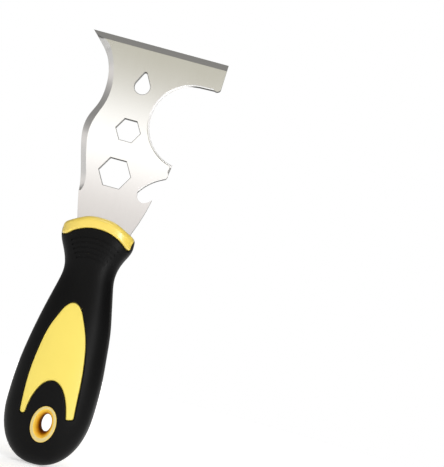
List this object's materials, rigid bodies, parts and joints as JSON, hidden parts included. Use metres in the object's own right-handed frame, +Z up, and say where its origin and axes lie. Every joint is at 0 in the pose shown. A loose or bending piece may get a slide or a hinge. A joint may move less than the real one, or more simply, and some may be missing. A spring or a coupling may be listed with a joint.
{
  "type": "painter's multi tool",
  "caption": "Hand-held painter's multi tool: bevelled steel scraper blade with hooked tip, wrench openings, nail slot and roller notch, in a soft-grip handle with a hang hole.",
  "frame": {"origin": "middle of the hand grip: the centre of the handle where the palm holds it, in the blade's mid plane", "axes": "+Z up the tool from the butt to the scraping edge, +X across the blade towards the square arm, +Y to the rear, so the bevelled front face looks along -Y"},
  "size_m": [0.065, 0.0252, 0.1983],
  "materials": {
    "blade_steel": "satin ground stainless steel",
    "collar_plastic": "glossy yellow moulded plastic",
    "core_plastic": "semi-gloss yellow moulded plastic",
    "soft_grip": "satin black soft overmould",
    "eyelet_plastic": "pale yellow moulded plastic",
    "pin_steel": "plain steel"
  },
  "bodies": {
    "root": {"blade": "blade_steel", "collar": "collar_plastic", "grip": "soft_grip", "front_core_half": "core_plastic", "rear_core_half": "core_plastic", "hang_eyelet": "eyelet_plastic", "upper_tang_pin": "pin_steel", "lower_tang_pin": "pin_steel"}
  },
  "joints": []
}
